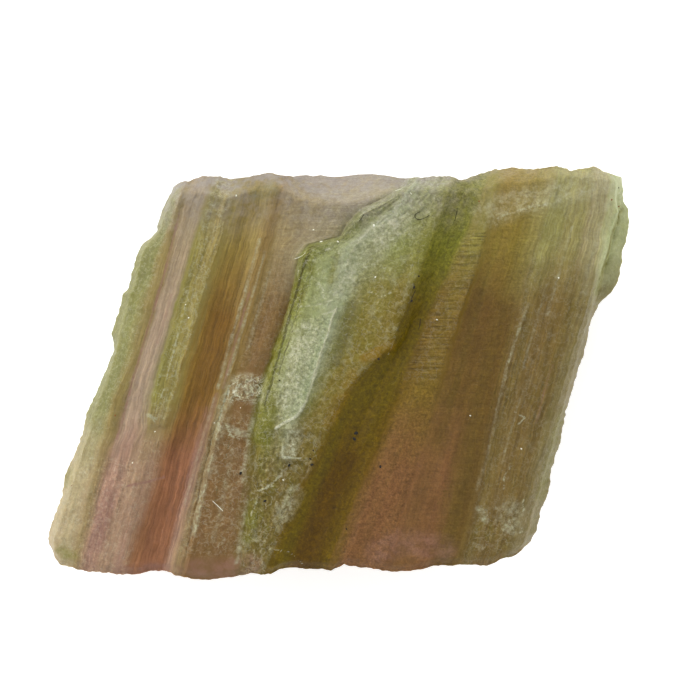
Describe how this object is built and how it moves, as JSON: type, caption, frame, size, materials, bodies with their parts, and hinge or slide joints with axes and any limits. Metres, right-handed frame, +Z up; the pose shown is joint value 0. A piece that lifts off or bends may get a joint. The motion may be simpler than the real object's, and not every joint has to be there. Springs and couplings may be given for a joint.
{
  "type": "tourmaline crystal fragment",
  "caption": "Rough broken length of a watermelon tourmaline prism: striated green rim, pink and brown bands, a raised pale green ledge and a dark green band.",
  "frame": {"origin": "middle of the crystal's box, on the flat cleaved back that it lies on", "axes": "+X along the longest side, towards the shelf of green rim; +Y towards the bevelled fracture end, with the prism's length leaning 16 degrees from +Y towards +X; +Z up, out of the broad striated face"},
  "size_m": [0.0232, 0.0164, 0.0065],
  "materials": {
    "tourmaline": "satin"
  },
  "bodies": {
    "root": {"tourmaline_crystal": "tourmaline"}
  },
  "joints": []
}
